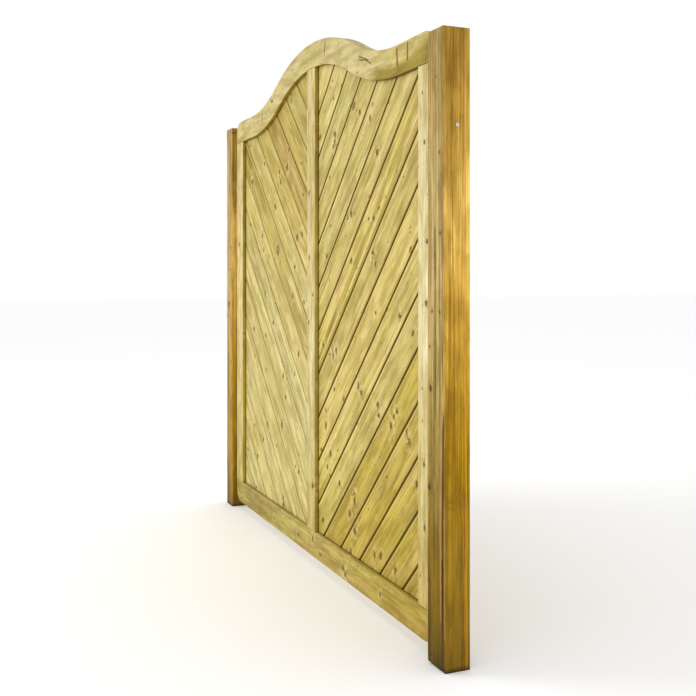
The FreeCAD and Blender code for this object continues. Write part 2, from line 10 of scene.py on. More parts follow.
import bpy
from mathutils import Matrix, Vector, noise


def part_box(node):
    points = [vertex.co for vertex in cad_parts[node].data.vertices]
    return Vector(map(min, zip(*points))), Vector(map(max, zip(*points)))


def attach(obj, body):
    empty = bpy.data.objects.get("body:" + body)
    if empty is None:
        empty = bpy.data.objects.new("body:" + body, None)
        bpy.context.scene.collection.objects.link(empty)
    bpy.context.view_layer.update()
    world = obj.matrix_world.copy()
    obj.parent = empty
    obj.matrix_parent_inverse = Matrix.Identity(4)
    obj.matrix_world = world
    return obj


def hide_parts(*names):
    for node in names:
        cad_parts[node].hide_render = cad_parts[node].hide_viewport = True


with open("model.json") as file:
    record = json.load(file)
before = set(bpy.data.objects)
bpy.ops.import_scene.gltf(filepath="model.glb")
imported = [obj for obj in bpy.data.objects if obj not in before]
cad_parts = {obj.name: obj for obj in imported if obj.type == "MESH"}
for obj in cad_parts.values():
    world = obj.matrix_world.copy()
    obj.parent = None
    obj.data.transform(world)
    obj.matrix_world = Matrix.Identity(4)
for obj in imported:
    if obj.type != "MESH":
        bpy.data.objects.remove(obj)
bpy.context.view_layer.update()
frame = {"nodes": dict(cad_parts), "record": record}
nodes = frame["nodes"]

SEED = 11
MM = 0.001


# ---------------------------------------------------------------- node building
class Graph:
    """Builds shader nodes with short calls. Values may be numbers, tuples or sockets."""

    def __init__(self, tree):
        self.tree = tree

    def node(self, kind, **settings):
        made = self.tree.nodes.new(kind)
        for key, value in settings.items():
            setattr(made, key, value)
        return made

    def feed(self, socket, value):
        if value is None:
            return
        if isinstance(value, bpy.types.NodeSocket):
            self.tree.links.new(value, socket)
        else:
            socket.default_value = value

    def math(self, operation, a, b=None, c=None, clamp=False):
        made = self.node("ShaderNodeMath", operation=operation, use_clamp=clamp)
        for socket, value in zip(made.inputs, (a, b, c)):
            self.feed(socket, value)
        return made.outputs[0]

    def vector(self, operation, a, b=None, scale=None):
        made = self.node("ShaderNodeVectorMath", operation=operation)
        self.feed(made.inputs[0], a)
        self.feed(made.inputs[1], b)
        if scale is not None:
            self.feed(made.inputs["Scale"], scale)
        scalar = operation in ("DOT_PRODUCT", "LENGTH", "DISTANCE")
        return made.outputs["Value" if scalar else "Vector"]

    def combine(self, x, y, z):
        made = self.node("ShaderNodeCombineXYZ")
        for socket, value in zip(made.inputs, (x, y, z)):
            self.feed(socket, value)
        return made.outputs[0]

    def split(self, vector):
        made = self.node("ShaderNodeSeparateXYZ")
        self.feed(made.inputs[0], vector)
        return made.outputs[0], made.outputs[1], made.outputs[2]

    def noise(self, vector, stretch=(1, 1, 1), detail=2.0, roughness=0.5, distortion=0.0):
        made = self.node("ShaderNodeTexNoise")
        self.feed(made.inputs["Vector"], self.vector("MULTIPLY", vector, stretch))
        made.inputs["Scale"].default_value = 1.0
        made.inputs["Detail"].default_value = detail
        made.inputs["Roughness"].default_value = roughness
        made.inputs["Distortion"].default_value = distortion
        return made.outputs["Fac"]

    def ramp(self, value, low, high, to_low=0.0, to_high=1.0):
        """Smooth step of value from low to high."""
        made = self.node("ShaderNodeMapRange", interpolation_type="SMOOTHSTEP", clamp=True)
        for key, item in (("Value", value), ("From Min", low), ("From Max", high),
                          ("To Min", to_low), ("To Max", to_high)):
            self.feed(made.inputs[key], item)
        return made.outputs["Result"]

    def mix(self, factor, a, b, blend="MIX"):
        made = self.node("ShaderNodeMix", data_type="RGBA", blend_type=blend)
        self.feed(made.inputs["Factor"], factor)
        colours = [socket for socket in made.inputs if socket.type == "RGBA"]
        for socket, value in zip(colours, (a, b)):
            self.feed(socket, value if not isinstance(value, tuple) else (*value[:3], 1.0))
        return next(socket for socket in made.outputs if socket.type == "RGBA")

    def grey(self, value):
        return self.combine(value, value, value)


def srgb(red, green, blue):
    """Linear colour from 0-255 display values."""
    def one(level):
        share = level / 255
        return share / 12.92 if share <= 0.04045 else ((share + 0.055) / 1.055) ** 2.4
    return one(red), one(green), one(blue)


def assign(thing, material):
    thing.data.materials.clear()
    thing.data.materials.append(material)


# ---------------------------------------------------------------- softwood
WOOD_INPUTS = (
    ("Grain", "NodeSocketVector", (0, 0, 0)),       # along, across and through the timber
    ("Pith Across", "NodeSocketFloat", 0.0),
    ("Pith Depth", "NodeSocketFloat", 0.05),
    ("Pith Tilt", "NodeSocketFloat", 0.02),
    ("Ring Width", "NodeSocketFloat", 0.006),
    ("Ring Contrast", "NodeSocketFloat", 0.5),
    ("Knot Share", "NodeSocketFloat", 0.4),
    ("Knot Size", "NodeSocketFloat", 0.006),
    ("Early", "NodeSocketColor", (0.6, 0.5, 0.25, 1)),
    ("Late", "NodeSocketColor", (0.4, 0.28, 0.1, 1)),
    ("Blush", "NodeSocketColor", (0.66, 0.48, 0.3, 1)),
    ("Stain", "NodeSocketColor", (0.4, 0.4, 0.12, 1)),
    ("Blush Share", "NodeSocketFloat", 0.5),
    ("Stain Share", "NodeSocketFloat", 0.5),
    ("Streaks", "NodeSocketFloat", 0.5),
)


def knot_field(g, grain, cell, share, size, shift):
    """Knots scattered on a stretched grid of cells.

    Returns how far a point is from its cell's knot, in knot radii, the knot's radius, and whether
    that cell has a knot at all.
    """
    along, across, _ = g.split(grain)
    flat = g.combine(g.math("ADD", g.math("DIVIDE", along, cell[0]), shift),
                     g.math("ADD", g.math("DIVIDE", across, cell[1]), shift), 0.0)
    cells = g.node("ShaderNodeTexVoronoi", voronoi_dimensions="2D", feature="F1")
    g.feed(cells.inputs["Vector"], flat)
    cells.inputs["Scale"].default_value = 1.0
    cells.inputs["Randomness"].default_value = 0.85
    away = g.vector("SUBTRACT", flat, cells.outputs["Position"])
    away = g.vector("MULTIPLY", away, (cell[0] * 0.7, cell[1], 0.0))
    chance, grade, _ = g.split(cells.outputs["Color"])
    radius = g.math("MULTIPLY", size, g.math("MULTIPLY_ADD", grade, 0.9, 0.35))
    wobble = g.noise(grain, (110, 200, 110), 2.0)
    reach = g.math("DIVIDE", g.vector("LENGTH", away), radius)
    reach = g.math("ADD", reach, g.math("MULTIPLY_ADD", wobble, 1.5, -0.75))
    present = g.math("LESS_THAN", chance, share)
    return reach, radius, present


def bell(g, value, centre, width):
    """1 at centre, falling off as a bell of that width."""
    step = g.math("DIVIDE", g.math("SUBTRACT", value, centre), width)
    return g.math("EXPONENT", g.math("MULTIPLY", g.math("MULTIPLY", step, step), -1.0))


def make_wood_group():
    tree = bpy.data.node_groups.new("softwood", "ShaderNodeTree")
    for name, kind, default in WOOD_INPUTS:
        socket = tree.interface.new_socket(name, in_out="INPUT", socket_type=kind)
        socket.default_value = default
    for name, kind in (("Color", "NodeSocketColor"), ("Roughness", "NodeSocketFloat"),
                       ("Height", "NodeSocketFloat")):
        tree.interface.new_socket(name, in_out="OUTPUT", socket_type=kind)
    g = Graph(tree)
    given = g.node("NodeGroupInput").outputs
    grain = given["Grain"]
    along, across, depth = g.split(grain)

    # knots: a few that matter, and a scatter of pin knots
    big = knot_field(g, grain, (0.24, 0.085), given["Knot Share"], given["Knot Size"], 3.7)
    small = knot_field(g, grain, (0.10, 0.045), g.math("MULTIPLY", given["Knot Share"], 0.8),
                       g.math("MULTIPLY", given["Knot Size"], 0.36), 17.3)
    cores, rims, halos, pushes = [], [], [], []
    for reach, radius, present in (big, small):
        cores.append(g.math("MULTIPLY", g.ramp(reach, 1.08, 0.72), present))
        rims.append(g.math("MULTIPLY", bell(g, reach, 1.0, 0.24), present))
        halo = g.math("MULTIPLY", bell(g, reach, 0.0, 2.3), present)
        halos.append(halo)
        pushes.append(g.math("MULTIPLY", halo, g.math("MULTIPLY", radius, 1.7)))
    core = g.math("MAXIMUM", *cores)
    rim = g.math("MAXIMUM", *rims)
    halo = g.math("MAXIMUM", *halos)
    push = g.math("ADD", *pushes)

    # growth rings: distance from a slightly tilted pith, bent round the knots
    sway = g.math("MULTIPLY_ADD", g.noise(grain, (1.3, 7, 7), 2.0), 0.024, -0.012)
    side = g.math("ADD", g.math("SUBTRACT", across, given["Pith Across"]),
                  g.math("ADD", sway, push))
    deep = g.math("MULTIPLY_ADD", along, given["Pith Tilt"],
                  g.math("SUBTRACT", depth, given["Pith Depth"]))
    rings = g.vector("LENGTH", g.combine(side, deep, 0.0))
    uneven = g.noise(grain, (2.0, 45, 45), 2.0)
    phase = g.math("ADD", g.math("DIVIDE", rings, given["Ring Width"]),
                   g.math("MULTIPLY", uneven, 0.9))
    saw = g.math("FRACT", phase)
    late = g.math("MULTIPLY", g.ramp(saw, 0.35, 0.9), g.ramp(saw, 1.0, 0.93))
    fade = g.ramp(g.noise(grain, (1.6, 22, 22), 2.0), 0.3, 0.72, 0.25, 1.0)
    late_share = g.math("MULTIPLY", g.math("MULTIPLY", late, fade), given["Ring Contrast"])

    # fibres and streaks that run with the grain
    fibre = g.noise(grain, (14, 900, 900), 3.0, 0.6)
    streak = g.noise(grain, (1.5, 95, 95), 3.0, 0.6)
    thread = g.noise(grain, (3.0, 230, 230), 2.0, 0.6)
    broad = g.noise(grain, (1.4, 17, 17), 2.0)
    smudge = g.noise(g.vector("ADD", grain, (2.9, 6.1, 0.7)), (9, 34, 34), 4.0, 0.6)
    patch = g.noise(grain, (5.0, 20, 20), 3.0, 0.55)
    second = g.noise(g.vector("ADD", grain, (7.1, 3.3, 1.9)), (3.6, 22, 22), 3.0, 0.55)

    colour = g.mix(late_share, given["Early"], given["Late"])
    colour = g.mix(g.math("MULTIPLY", g.ramp(patch, 0.42, 0.68), given["Blush Share"]),
                   colour, given["Blush"])
    colour = g.mix(g.math("MULTIPLY", g.ramp(second, 0.45, 0.72), given["Stain Share"]),
                   colour, given["Stain"])
    flecks = g.ramp(g.noise(grain, (32, 520, 520), 2.0, 0.5), 0.63, 0.76)
    level = g.math("MULTIPLY_ADD", g.math("SUBTRACT", streak, 0.5), given["Streaks"], 1.0)
    level = g.math("MULTIPLY", level, g.math("MULTIPLY_ADD", fibre, 0.3, 0.85))
    level = g.math("MULTIPLY_ADD", g.math("SUBTRACT", thread, 0.5),
                   g.math("MULTIPLY", given["Streaks"], 0.7), level)
    level = g.math("MULTIPLY", level, g.math("MULTIPLY_ADD", broad, 0.4, 0.8))
    level = g.math("MULTIPLY", level, g.ramp(smudge, 0.62, 0.4, 0.78, 1.06))
    level = g.math("MULTIPLY", level, g.math("MULTIPLY_ADD", flecks, -0.28, 1.0))
    level = g.math("MAXIMUM", level, 0.05)
    deeper = g.combine(level, g.math("POWER", level, 1.12), g.math("POWER", level, 1.8))
    colour = g.mix(1.0, colour, deeper, "MULTIPLY")

    dark_knot, brown_knot, amber = srgb(72, 50, 6), srgb(116, 88, 24), srgb(170, 142, 58)
    cream = srgb(226, 206, 138)
    torn = g.ramp(g.noise(grain, (70, 110, 110), 2.0), 0.4, 0.62)
    rim = g.math("MULTIPLY", rim, torn)
    glow = g.math("MULTIPLY", bell(g, big[0], 2.1, 0.7), g.math("MULTIPLY", big[2], torn))
    colour = g.mix(g.math("MULTIPLY", halo, 0.3), colour, amber)
    colour = g.mix(g.math("MULTIPLY", glow, 0.4), colour, cream)
    whorl = g.ramp(g.math("FRACT", g.math("MULTIPLY", big[0], 3.2)), 0.3, 0.9)
    heart = g.mix(g.math("MULTIPLY", whorl, 0.6), brown_knot, dark_knot)
    colour = g.mix(g.math("MULTIPLY", core, 0.85), colour, heart)
    colour = g.mix(g.math("MULTIPLY", rim, 0.72), colour, dark_knot)

    rough = g.math("MULTIPLY_ADD", fibre, 0.22, 0.56)
    rough = g.math("SUBTRACT", rough, g.math("MULTIPLY", late_share, 0.1))
    rough = g.math("SUBTRACT", rough, g.math("MULTIPLY", core, 0.12))
    height = g.math("MULTIPLY", late, 0.35)
    height = g.math("MULTIPLY_ADD", fibre, 0.8, height)
    height = g.math("MULTIPLY_ADD", streak, 0.7, height)
    height = g.math("MULTIPLY_ADD", rim, -1.5, height)
    height = g.math("MULTIPLY_ADD", core, 0.5, height)

    out = g.node("NodeGroupOutput")
    for name, value in (("Color", colour), ("Roughness", rough), ("Height", height)):
        g.feed(out.inputs[name], value)
    return tree


WOOD = make_wood_group()


def grain_space(g, along, across, through, offset):
    """Object coordinates turned to run along, across and through the timber, and moved by offset."""
    place = g.node("ShaderNodeTexCoord").outputs["Object"]
    axes = [g.math("ADD", g.vector("DOT_PRODUCT", place, tuple(axis)), shift)
            for axis, shift in zip((along, across, through), offset)]
    return place, g.combine(*axes)


def wood_material(name, along, across, through, offset, settings, finish=None, bump=0.35):
    """Softwood whose grain runs along a given axis.

    finish(g, place, colour, height) may change the colour and the relief, and returns both.
    """
    material = bpy.data.materials.new(name)
    material.use_nodes = True
    tree = material.node_tree
    tree.nodes.clear()
    g = Graph(tree)
    place, grain = grain_space(g, along, across, through, offset)
    wood = g.node("ShaderNodeGroup")
    wood.node_tree = WOOD
    g.feed(wood.inputs["Grain"], grain)
    for key, value in settings.items():
        wood.inputs[key].default_value = (*value, 1.0) if isinstance(value, tuple) else value
    colour = wood.outputs["Color"]
    height = wood.outputs["Height"]
    if finish:
        colour, height = finish(g, place, colour, height)
    relief = g.node("ShaderNodeBump")
    relief.inputs["Strength"].default_value = bump
    relief.inputs["Distance"].default_value = 0.0006
    g.feed(relief.inputs["Height"], height)
    shader = g.node("ShaderNodeBsdfPrincipled")
    g.feed(shader.inputs["Base Color"], colour)
    g.feed(shader.inputs["Roughness"], wood.outputs["Roughness"])
    g.feed(shader.inputs["Normal"], relief.outputs["Normal"])
    shader.inputs["Specular IOR Level"].default_value = 0.14
    out = g.node("ShaderNodeOutputMaterial")
    g.feed(out.inputs["Surface"], shader.outputs["BSDF"])
    return material


def profile(g, value, low, high, stops):
    """A colour that changes along value, from (value, colour) pairs between low and high."""
    made = g.node("ShaderNodeValToRGB")
    made.color_ramp.interpolation = "EASE"
    points = made.color_ramp.elements
    while len(points) < len(stops):
        points.new(0.5)
    for point, (place, colour) in zip(points, stops):
        point.position = (place - low) / (high - low)
        point.color = (*colour, 1.0)
    g.feed(made.inputs["Fac"], g.math("DIVIDE", g.math("SUBTRACT", value, low), high - low))
    return made.outputs["Color"]


def height_profile(g, z, stops):
    """A colour that changes with height, from (height in metres, colour) pairs."""
    return profile(g, z, 0.0, 1.7, stops)


def varied(rng, colour, spread, warmth=0.0):
    """A colour a little lighter or darker, and a little warmer or cooler, than the one given."""
    level = 1 + rng.uniform(-spread, spread)
    warm = rng.uniform(-warmth, warmth)
    red, green, blue = colour
    return red * level * (1 + warm), green * level, blue * level * (1 - 1.5 * warm)


# ---------------------------------------------------------------- painted marks
def stroke(g, place, start, end, width, strength):
    """Mask of a thin, slightly ragged line between two (x, z) points: a joint line or a check."""
    x, _, z = g.split(place)
    run = Vector(end) - Vector(start)
    length = run.length
    unit = run / length
    dx, dz = g.math("SUBTRACT", x, start[0]), g.math("SUBTRACT", z, start[1])
    along = g.math("ADD", g.math("MULTIPLY", dx, unit[0]), g.math("MULTIPLY", dz, unit[1]))
    off = g.math("SUBTRACT", g.math("MULTIPLY", dx, unit[1]), g.math("MULTIPLY", dz, unit[0]))
    ragged = g.math("MULTIPLY_ADD", g.noise(place, (90, 90, 90), 2.0), 0.006, -0.003)
    off = g.math("ABSOLUTE", g.math("ADD", off, ragged))
    inside = g.math("MULTIPLY", g.ramp(along, 0.0, 0.15 * length),
                    g.ramp(along, length, 0.9 * length))
    return g.math("MULTIPLY", g.math("MULTIPLY", g.ramp(off, width, width * 0.3), inside), strength)


def spot(g, place, centre, size):
    """How far a point is from an oval mark at (x, z), 1 at its edge."""
    x, _, z = g.split(place)
    off = g.combine(g.math("DIVIDE", g.math("SUBTRACT", x, centre[0]), size[0]),
                    g.math("DIVIDE", g.math("SUBTRACT", z, centre[1]), size[1]), 0.0)
    wobble = g.math("MULTIPLY_ADD", g.noise(place, (130, 130, 130), 2.0), 2.0, -1.0)
    return g.math("ADD", g.vector("LENGTH", off), wobble)


def knots_at(g, place, colour, spots):
    """Knots given as (centre, size) in x and z: a ragged dark heart, thin arcs and a little cream."""
    for centre, size in spots:
        reach = spot(g, place, centre, size)
        one_side = g.ramp(g.noise(place, (60, 60, 60), 1.0), 0.42, 0.58)
        near = g.math("MULTIPLY", bell(g, reach, 2.1, 1.0), one_side)
        colour = g.mix(g.math("MULTIPLY", near, 0.36), colour, srgb(226, 208, 144))
        arcs = g.ramp(g.math("FRACT", g.math("MULTIPLY", reach, 1.2)), 0.66, 0.92)
        arcs = g.math("MULTIPLY", arcs, bell(g, reach, 2.0, 1.0))
        colour = g.mix(g.math("MULTIPLY", arcs, 0.42), colour, srgb(138, 110, 38))
        colour = g.mix(g.math("MULTIPLY", g.ramp(reach, 1.25, 0.5), 0.85), colour,
                       srgb(84, 62, 12))
    return colour


# ---------------------------------------------------------------- boards
HALF = math.sqrt(0.5)
Y_AXIS = Vector((0, 1, 0))
FOOT_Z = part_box("bottom_rail")[0].z
LEDGE_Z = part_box("bottom_rail")[1].z
MULLION_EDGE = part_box("mullion")[1].x
STILE_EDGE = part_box("stile_right")[0].x
BOARD_PITCH = 105.8 * MM / HALF  # the boards' cover, measured along x or z

BOARD_EARLY = srgb(206, 190, 118)
BOARD_LATE = srgb(160, 136, 54)
BOARD_BLUSH = srgb(208, 182, 124)
BOARD_STAIN = srgb(170, 156, 62)
GOLDEN_BOARDS = ["board_right_%02d" % number for number in range(1, 6)]
BROWN_BOARDS = ("board_left_13",)
STREAKY_BOARDS = ("board_right_10", "board_left_10")
LATCH_SIDE, HINGE_SIDE = -1, 1   # signs of x
# tints with height, partly painted light and shade: the latch side darker towards the top, the hinge
# side darker towards the foot
LEAF_TINTS = {                   # (height, tint) stops of each side
    LATCH_SIDE: ((0.1, (1.03, 1.07, 1.22)), (0.8, (0.91, 0.92, 1.0)), (1.3, (0.79, 0.78, 0.67)),
                 (1.6, (0.7, 0.68, 0.5))),
    HINGE_SIDE: ((0.1, (0.88, 0.84, 0.57)), (0.6, (0.94, 0.93, 0.82)), (1.6, (0.92, 0.91, 0.84))),
}
# how wide the painted shade of a V joint is, as a share of a board; joints are counted from the foot
JOINT_DARK = {LATCH_SIDE: 0.095, HINGE_SIDE: 0.075}
WIDE_JOINTS = {3: 0.105, 4: 0.125, 5: 0.105, 6: 0.09}       # on the hinge side
KNOT_EVERY = 0.42                # mean distance between whorls of knots along a board
KNOT_EDGE = 0.2                  # knots keep this share of a board's width from its edges


def board_knots(rng, side, low, high, climbs):
    """Whorls of one to three small knots along a board, as the branches of a pine grow."""
    knots = []
    wide = max(climbs) - min(climbs)
    reach = low.x + rng.uniform(0.2, 1.0) * KNOT_EVERY * HALF
    while reach < high.x:
        for _ in range(rng.choice((1, 1, 2, 3))):
            x = reach + rng.uniform(-0.03, 0.03)
            climb = min(climbs) + rng.uniform(KNOT_EDGE, 1 - KNOT_EDGE) * wide
            z = climb + side * x
            if low.x < x < high.x and low.z < z < high.z:
                size = rng.uniform(0.006, 0.01)
                knots.append(((x, z), (size, size * rng.uniform(0.9, 1.8))))
        reach += rng.uniform(0.6, 1.4) * KNOT_EVERY * HALF
    return knots


def joint_shade_finish(side, lower_joint, knots):
    """Painted shade in the V joints, on their flanks and where the boards meet the frame, with a
    painted highlight beside each joint.
    """
    def finish(g, place, colour, height):
        x, y, z = g.split(place)
        colour = g.mix(1.0, colour, height_profile(g, z, LEAF_TINTS[side]), "MULTIPLY")
        normal = g.node("ShaderNodeTexCoord").outputs["Normal"]
        _, ny, nz = g.split(normal)
        climb = g.math("SUBTRACT", z, g.math("MULTIPLY", x, float(side)))
        joint = g.math("FRACT", g.math("DIVIDE", g.math("SUBTRACT", climb, FOOT_Z), BOARD_PITCH))
        # painted highlight beside each V joint, where the arris catches the light; partly a lighter
        # worn arris
        worn_arris_highlight = bell(g, joint, 0.93, 0.022)
        colour = g.mix(g.math("MULTIPLY", worn_arris_highlight, 0.3), colour, srgb(226, 208, 140))
        colour = knots_at(g, place, colour, knots)
        # painted shade in each V joint, wider at some joints on the hinge side
        width = JOINT_DARK[side]
        if side == HINGE_SIDE:
            width = WIDE_JOINTS.get(lower_joint, width)
        ragged = g.math("MULTIPLY_ADD", g.noise(place, (26, 26, 26), 2.0), 0.05, -0.025)
        v_shade = g.ramp(g.math("ADD", joint, ragged), width, width * 0.45)
        colour = g.mix(g.math("MULTIPLY", v_shade, 0.7 if side > 0 else 0.55), colour,
                       srgb(112, 88, 18))
        # painted shade fading out beside each joint
        fringe_shade = g.math("MULTIPLY", bell(g, joint, 0.09, 0.06),
                        g.ramp(g.noise(place, (11, 11, 11), 2.0), 0.42, 0.62))
        colour = g.mix(g.math("MULTIPLY", fringe_shade, 0.4), colour, srgb(160, 142, 52))
        # painted shade on the chamfers and board edges, darker deeper in and on faces turned down
        edge = g.ramp(g.math("ABSOLUTE", ny), 0.92, 0.8)
        depth = g.ramp(g.math("ABSOLUTE", y), 7.0 * MM, 4.6 * MM)
        upward = g.ramp(nz, -0.1, 0.3)
        strength = g.mix(upward, g.grey(0.93), g.grey(g.math("MULTIPLY_ADD", depth, 0.6, 0.12)))
        edge = g.math("MULTIPLY", edge, strength)
        # painted shade where the boards meet the mullion, the stiles and the bottom rail's ledge
        across = g.math("ABSOLUTE", x)
        frame_shade = g.math("MAXIMUM", g.ramp(across, MULLION_EDGE + 6 * MM, MULLION_EDGE + 1 * MM),
                        g.ramp(across, STILE_EDGE - 4 * MM, STILE_EDGE - 1 * MM))
        ledge_shade = g.ramp(z, LEDGE_Z + 3 * MM, LEDGE_Z + 1 * MM, 0.0, 1.0 if side > 0 else 0.5)
        frame_shade = g.math("MAXIMUM", frame_shade, ledge_shade)
        frame_shade = g.math("MAXIMUM", g.math("MULTIPLY", frame_shade, 0.65), edge)
        return g.mix(frame_shade, colour, srgb(92, 70, 6)), height
    return finish


def dress_boards():
    for name in sorted(nodes):
        if not name.startswith("board_"):
            continue
        rng = random.Random(SEED + sum(ord(letter) * place for place, letter in enumerate(name, 1)))
        side = HINGE_SIDE if "_right_" in name else LATCH_SIDE
        along = Vector((side * HALF, 0, HALF))
        across = Vector((-side * HALF, 0, HALF))
        low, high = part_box(name)
        middle = (low + high) / 2
        early = varied(rng, BOARD_EARLY, 0.10, 0.05)
        late = varied(rng, BOARD_LATE, 0.10, 0.05)
        contrast = rng.uniform(0.18, 0.55)
        streaks = rng.uniform(0.6, 1.3)
        if name in GOLDEN_BOARDS:
            early, late = varied(rng, srgb(192, 170, 80), 0.06), varied(rng, srgb(150, 124, 36), 0.06)
        if name in BROWN_BOARDS:
            early, late, contrast = srgb(190, 162, 90), srgb(154, 120, 50), 0.6
        if name in STREAKY_BOARDS:
            early, late, contrast, streaks = srgb(200, 182, 100), srgb(146, 124, 38), 1.0, 1.7
        settings = {
            "Pith Across": across.dot(middle) + rng.uniform(-0.05, 0.05),
            "Pith Depth": rng.choice((-1, 1)) * rng.uniform(0.025, 0.09),
            "Pith Tilt": rng.uniform(-0.03, 0.03),
            "Ring Width": rng.uniform(0.0045, 0.009),
            "Ring Contrast": contrast,
            "Knot Share": rng.uniform(0.2, 0.5),
            "Knot Size": rng.uniform(0.005, 0.0085),
            "Early": early, "Late": late,
            "Blush": varied(rng, BOARD_BLUSH, 0.05),
            "Stain": varied(rng, BOARD_STAIN, 0.06),
            "Blush Share": rng.uniform(0.2, 0.75),
            "Stain Share": rng.uniform(0.1, 0.5),
            "Streaks": streaks,
        }
        shift = rng.uniform(0, 20)
        climbs = [vertex.co.z - side * vertex.co.x for vertex in nodes[name].data.vertices]
        knots = board_knots(rng, side, low, high, climbs)
        lower_joint = round((min(climbs) - FOOT_Z) / BOARD_PITCH)
        finish = joint_shade_finish(side, lower_joint, knots)
        material = wood_material("wood_" + name, along, across, Y_AXIS, (shift, 0, 0), settings,
                                 finish, 0.3)
        assign(nodes[name], material)


# ---------------------------------------------------------------- frame
FRAME_EARLY = srgb(208, 194, 142)
FRAME_LATE = srgb(176, 150, 78)
FRAME_BLUSH = srgb(206, 182, 132)
FRAME_STAIN = srgb(182, 168, 84)


def frame_settings(rng, across_middle, **changes):
    settings = {
        "Pith Across": across_middle + rng.uniform(-0.03, 0.03),
        "Pith Depth": rng.choice((-1, 1)) * rng.uniform(0.04, 0.09),
        "Pith Tilt": rng.uniform(-0.02, 0.02),
        "Ring Width": rng.uniform(0.005, 0.008),
        "Ring Contrast": 0.3,
        "Knot Share": 0.5,
        "Knot Size": 0.0065,
        "Early": varied(rng, FRAME_EARLY, 0.05),
        "Late": varied(rng, FRAME_LATE, 0.05),
        "Blush": FRAME_BLUSH, "Stain": FRAME_STAIN,
        "Blush Share": 0.5, "Stain Share": 0.4, "Streaks": 0.5,
    }
    settings.update(changes)
    return settings


def frame_finish(axis, inward, tints, strokes=(), spots=(), extra=None, shade=1.0, side_tint=None):
    """Painted shade on the faces that look into the panel, darker deeper in, with joint lines and
    knots.

    axis and inward say which way the panel is: the normal along axis, times inward, is positive
    there. An inward of 0 means both ways. tints and side_tint are (height, colour) stops.
    """
    def finish(g, place, colour, height):
        _, y, z = g.split(place)
        colour = g.mix(1.0, colour, height_profile(g, z, tints), "MULTIPLY")
        if extra:
            colour = extra(g, place, colour)
        normal = g.node("ShaderNodeTexCoord").outputs["Normal"]
        look = g.split(normal)[axis]
        look = g.math("MULTIPLY", look, float(inward)) if inward else g.math("ABSOLUTE", look)
        # painted shade on the faces that look into the panel, darkest where they lie deep in the
        # recess
        inner = g.ramp(look, 0.5, 0.85)
        deep = g.ramp(g.math("ABSOLUTE", y), 0.0118, 0.009)
        dark = g.mix(deep, srgb(206, 188, 96), srgb(112, 86, 24))
        # side_tint lightens or darkens that painted shade with height
        if side_tint:
            dark = g.mix(1.0, dark, height_profile(g, z, side_tint), "MULTIPLY")
        inner = g.math("MULTIPLY", inner, g.math("MAXIMUM", deep, shade))
        colour = g.mix(inner, colour, g.mix(1.0, colour, dark, "MULTIPLY"))
        for start, end, width, strength in strokes:
            line = stroke(g, place, start, end, width, strength)
            colour = g.mix(line, colour, srgb(104, 80, 18))
            height = g.math("MULTIPLY_ADD", line, -2.0, height)
        return knots_at(g, place, colour, spots), height
    return finish


# the top rail's edges: hollow arcs round (+-VALLEY_X, VALLEY_Z), and a crest arc between them
RAIL_WIDTH = 88 * MM
VALLEY_X, VALLEY_Z = 0.678, 2.374
UNDER_RADIUS = 0.793
OVER_RADIUS = UNDER_RADIUS - RAIL_WIDTH
CREST_Z, CREST_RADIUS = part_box("top_rail")[1].z, 0.871
TURN_X = VALLEY_X * CREST_RADIUS / (CREST_RADIUS + OVER_RADIUS)
# lines across the top rail: (share of the way out to the low point, width)
RAIL_JOINTS = ((1.0, 8 * MM), (1.1, 6.5 * MM), (0.2, 5 * MM), (-0.8, 4 * MM))
RAIL_CHECKS = 3                  # along its grain, at the hinge side
KNOT_INSET = 15 * MM             # from a frame member's edges


def rail_shadow(g, place, colour):
    """Olive stain along the lower edge of the top rail's low part, on the hinge side."""
    x, _, z = g.split(place)
    away = g.vector("LENGTH", g.combine(g.math("SUBTRACT", x, VALLEY_X), 0.0,
                                        g.math("SUBTRACT", z, VALLEY_Z)))
    drift = g.math("MULTIPLY_ADD", g.noise(place, (7, 7, 7), 2.0), 0.05, -0.025)
    low = g.ramp(g.math("ADD", away, drift), UNDER_RADIUS - 0.045, UNDER_RADIUS - 0.025)
    zone = g.math("MULTIPLY", low, g.ramp(x, 0.46, 0.56))
    olive = g.mix(1.0, colour, (0.62, 0.56, 0.26), "MULTIPLY")
    colour = g.mix(g.math("MULTIPLY", zone, 0.95), colour, olive)
    darker = g.mix(1.0, colour, (0.92, 0.88, 0.66), "MULTIPLY")
    return g.mix(g.ramp(x, 0.5, 0.66), colour, darker)


def rail_foot(g, place, colour):
    """The bottom rail is darker at the latch end and more golden at the hinge end."""
    x, _, _ = g.split(place)
    tint = profile(g, x, -0.9, 0.9, ((-0.6, (0.81, 0.84, 0.82)), (-0.2, (1.08, 1.16, 1.18)),
                                     (0.3, (1.06, 1.1, 1.03)), (0.7, (0.99, 0.96, 0.74))))
    return g.mix(1.0, colour, tint, "MULTIPLY")


def mullion_stain(g, place, colour):
    """A brown patch across the mullion near the top."""
    x, _, z = g.split(place)
    zone = g.math("MULTIPLY", bell(g, z, 1.515, 0.02), g.ramp(x, -0.02, 0.03))
    return g.mix(g.math("MULTIPLY", zone, 0.5), colour, srgb(186, 140, 90))


def member_knots(rng, name, count):
    """Small knots scattered over the front of a frame member."""
    low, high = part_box(name)
    knots = []
    for _ in range(count):
        size = rng.uniform(0.006, 0.011)
        centre = (rng.uniform(low.x + KNOT_INSET, high.x - KNOT_INSET),
                  rng.uniform(low.z + KNOT_INSET, high.z - KNOT_INSET))
        knots.append((centre, (size, size * rng.uniform(0.9, 1.5))))
    return knots


